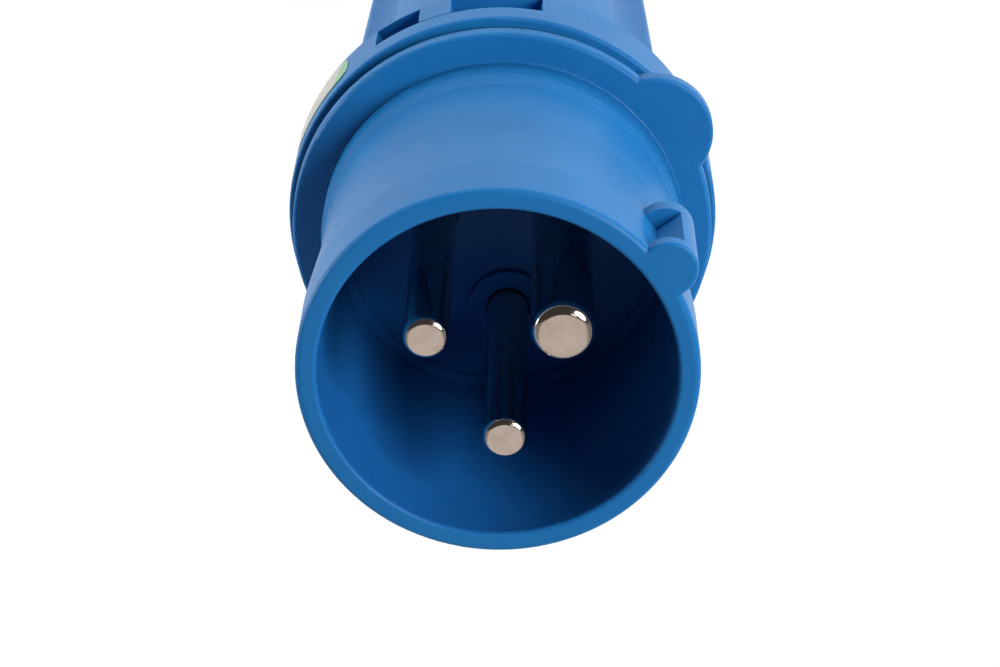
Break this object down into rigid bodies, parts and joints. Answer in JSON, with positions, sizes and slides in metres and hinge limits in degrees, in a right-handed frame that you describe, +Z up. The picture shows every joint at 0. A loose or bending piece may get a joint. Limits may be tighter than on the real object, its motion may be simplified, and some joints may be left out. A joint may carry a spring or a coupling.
{
  "type": "industrial pin and sleeve plug",
  "caption": "Cable plug with a round keyed shroud around contact pins, a lobed flange, a twist-on fluted grip and a cable gland.",
  "frame": {"origin": "centre of the gland nut's end face, on the plug's axis, where the plug stands", "axes": "+Z up along the plug's axis, from the gland to the opening; the key is on the -X and -Y side"},
  "size_m": [0.052, 0.052, 0.1373],
  "materials": {
    "housing_blue": "moulded, satin",
    "pin_metal": "nickel plated",
    "screw_steel": "zinc plated",
    "insulator_grey": "moulded",
    "seal_rubber": "matt"
  },
  "bodies": {
    "gland": {"gland_nut": "housing_blue"},
    "gland_thrust": {"slip_washer": "insulator_grey"},
    "rear": {"rear_housing": "housing_blue", "housing_seal": "seal_rubber", "clamp_cage": "insulator_grey", "cable_seal": "seal_rubber"},
    "front": {"front_housing": "housing_blue", "line_pin": "pin_metal", "neutral_pin": "pin_metal", "earth_pin": "pin_metal", "pole_terminal_screws": "screw_steel", "earth_terminal_screw": "screw_steel", "contact_retainer": "insulator_grey", "retainer_screws": "screw_steel"}
  },
  "joints": [
    {"name": "housing_twist", "type": "hinge", "parent": "rear", "child": "front", "pos_m": [0, 0, 0.0923], "axis": [0, 0, 1], "range_deg": [0, 20]},
    {"name": "gland_turn", "type": "hinge", "parent": "gland", "child": "gland_thrust", "pos_m": [0, 0, 0.0093], "axis": [0, 0, 1], "range_deg": [0, 1080]},
    {"name": "gland_advance", "type": "slide", "parent": "gland_thrust", "child": "rear", "axis": [0, 0, 1], "range_m": [0, 0.0045]}
  ],
  "couplings": [
    {"joint": "gland_advance", "follows": "gland_turn", "m_per_rad": 0.00023873}
  ]
}
